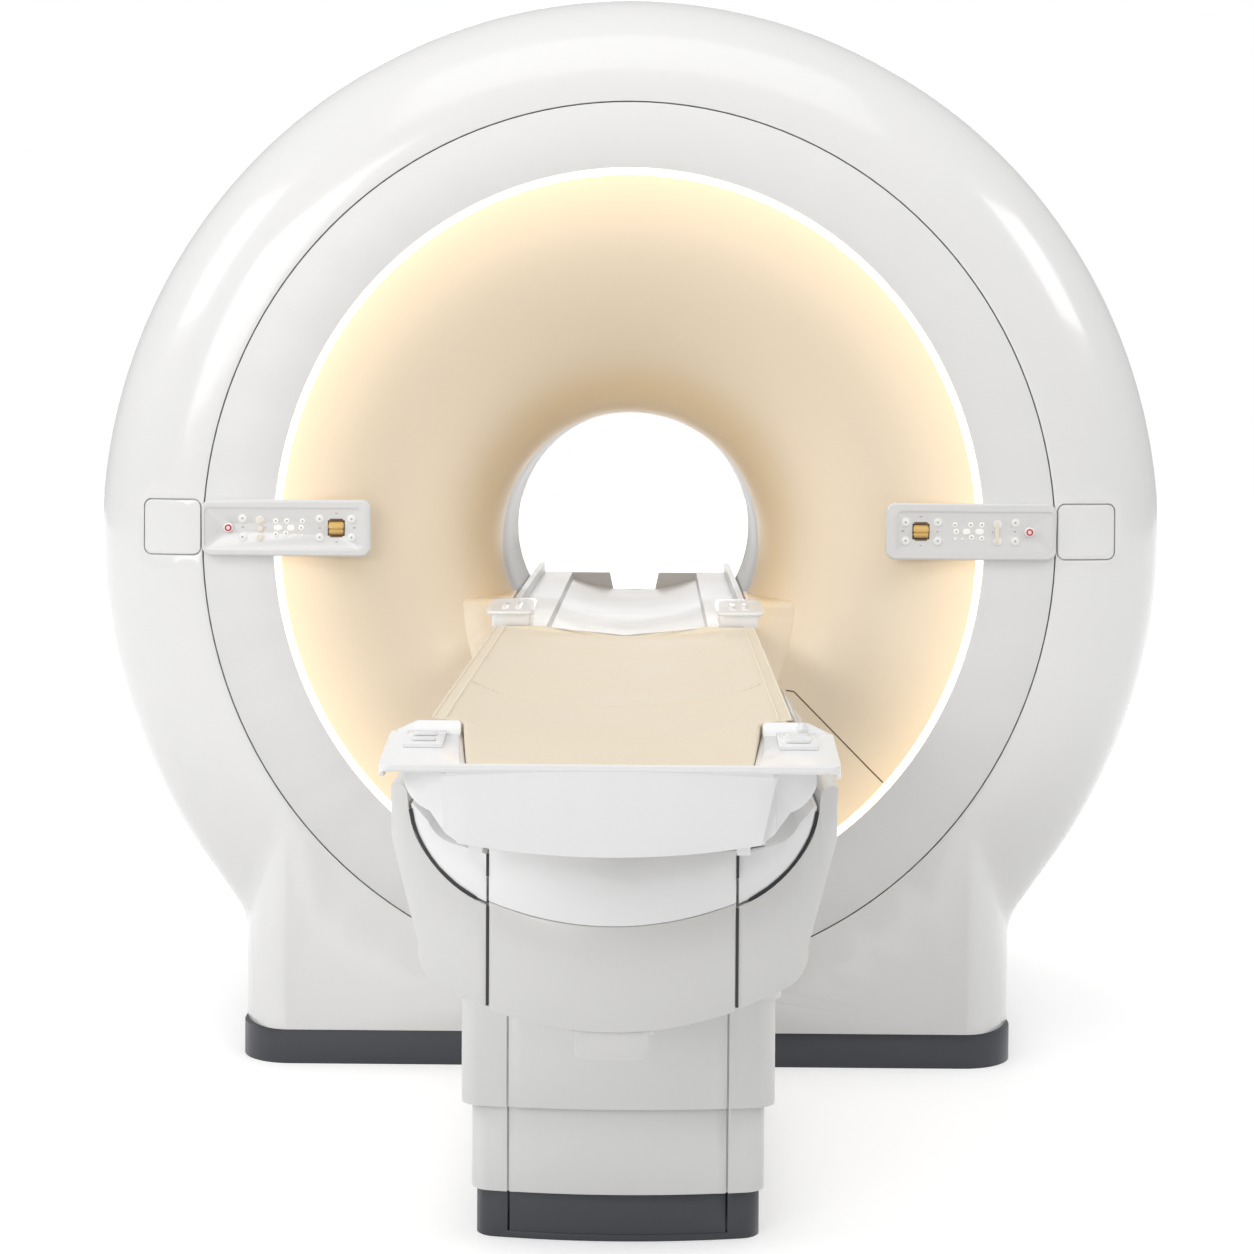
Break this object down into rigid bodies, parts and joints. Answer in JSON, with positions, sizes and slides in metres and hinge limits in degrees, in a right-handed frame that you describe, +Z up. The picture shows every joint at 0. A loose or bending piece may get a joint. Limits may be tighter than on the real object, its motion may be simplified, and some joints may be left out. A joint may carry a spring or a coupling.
{
  "type": "magnetic resonance imaging scanner",
  "caption": "Closed-bore MRI scanner: rounded gantry with a light-ringed funnel round the bore, and a patient table on a telescopic column.",
  "frame": {"origin": "on the floor, straight under the middle of the bore", "axes": "+Z up; +Y into the bore, from the patient table to the rear; +X to the right of someone who faces the patient end"},
  "size_m": [2.36, 3.665, 2.338],
  "materials": {
    "cover_white": "gloss",
    "ring_white": "satin",
    "light_guide": "satin",
    "funnel_beige": "satin",
    "liner_grey": "satin",
    "bridge_white": "satin",
    "panel_white": "gloss",
    "key_white": "satin",
    "stop_red": "gloss",
    "wheel_gold": "satin",
    "plinth_dark": "satin",
    "table_white": "gloss",
    "housing_grey": "satin",
    "top_white": "satin",
    "mattress_beige": "matte",
    "sleeve_grey": "satin",
    "steel_paint": "satin",
    "frame_alu": "satin",
    "tube_steel": "satin",
    "coil_resin": "matte"
  },
  "bodies": {
    "root": {"gantry_front_cover": "cover_white", "gantry_middle_cover": "cover_white", "gantry_rear_cover": "cover_white", "panel_insert_left": "cover_white", "panel_insert_right": "cover_white", "front_face_ring": "ring_white", "light_ring": "light_guide", "front_frame": "frame_alu", "funnel_front": "funnel_beige", "bed_fairing": "funnel_beige", "funnel_rear": "funnel_beige", "bore_liner": "liner_grey", "body_coil": "coil_resin", "gradient_coil": "coil_resin", "magnet_vessel": "steel_paint", "magnet_feet": "steel_paint", "cold_head": "frame_alu", "gantry_plinth": "plinth_dark", "bore_bridge": "bridge_white", "control_panel_left": "panel_white", "control_panel_right": "panel_white", "panel_keys": "key_white", "pedestal_base": "plinth_dark", "pedestal_panel": "plinth_dark", "lift_cylinders": "tube_steel"},
    "travel_wheel_left": {"travel_wheel_left": "wheel_gold"},
    "travel_wheel_right": {"travel_wheel_right": "wheel_gold"},
    "stop_button_left": {"stop_button_left": "stop_red"},
    "stop_button_right": {"stop_button_right": "stop_red"},
    "middle_column": {"middle_sleeve": "sleeve_grey", "middle_panel": "sleeve_grey", "lower_lift_tubes": "tube_steel"},
    "upper_column": {"upper_sleeve": "sleeve_grey", "upper_panel": "sleeve_grey", "upper_lift_tubes": "tube_steel"},
    "lift": {"lift_rods": "tube_steel", "lift_frame": "frame_alu", "support_cradle": "frame_alu", "slide_rails": "frame_alu", "wing_left": "housing_grey", "wing_right": "housing_grey", "wing_lip_left": "table_white", "wing_lip_right": "table_white", "front_apron": "table_white", "front_fascia": "housing_grey", "housing_rear_cover": "housing_grey", "handle_bracket": "frame_alu"},
    "release_handle": {"release_handle": "housing_grey"},
    "table_top": {"tabletop": "top_white", "table_carriage": "frame_alu", "head_block_left": "table_white", "head_block_right": "table_white", "mattress": "mattress_beige", "end_bow": "table_white", "ear_latch_left": "table_white", "ear_latch_right": "table_white"}
  },
  "joints": [
    {"name": "table_lift", "type": "slide", "parent": "root", "child": "lift", "axis": [0, 0, 1], "range_m": [-0.4, 0]},
    {"name": "middle_sleeve_slide", "type": "slide", "parent": "root", "child": "middle_column", "axis": [0, 0, 1], "range_m": [-0.0825, 0]},
    {"name": "upper_sleeve_slide", "type": "slide", "parent": "root", "child": "upper_column", "axis": [0, 0, 1], "range_m": [-0.225, 0]},
    {"name": "table_travel", "type": "slide", "parent": "lift", "child": "table_top", "axis": [0, 1, 0], "range_m": [0, 1.03]},
    {"name": "release_pull", "type": "hinge", "parent": "lift", "child": "release_handle", "pos_m": [0, -2.6005, 0.546], "axis": [-1, 0, 0], "range_deg": [0, 20], "stiffness_Nm_per_rad": 0.6, "springref_deg": -5.73},
    {"name": "travel_wheel_left_turn", "type": "hinge", "parent": "root", "child": "travel_wheel_left", "pos_m": [-0.631, -0.79, 1.171], "axis": [1, 0, 0], "range_deg": [-25, 25], "stiffness_Nm_per_rad": 0.05},
    {"name": "travel_wheel_right_turn", "type": "hinge", "parent": "root", "child": "travel_wheel_right", "pos_m": [0.631, -0.79, 1.171], "axis": [1, 0, 0], "range_deg": [-25, 25], "stiffness_Nm_per_rad": 0.05},
    {"name": "stop_button_left_press", "type": "slide", "parent": "root", "child": "stop_button_left", "axis": [0, 1, 0], "range_m": [0, 0.003], "stiffness_N_per_m": 600, "springref_m": -0.001},
    {"name": "stop_button_right_press", "type": "slide", "parent": "root", "child": "stop_button_right", "axis": [0, 1, 0], "range_m": [0, 0.003], "stiffness_N_per_m": 600, "springref_m": -0.001}
  ],
  "couplings": [
    {"joint": "middle_sleeve_slide", "follows": "table_lift", "ratio": 0.205},
    {"joint": "upper_sleeve_slide", "follows": "table_lift", "ratio": 0.56}
  ]
}
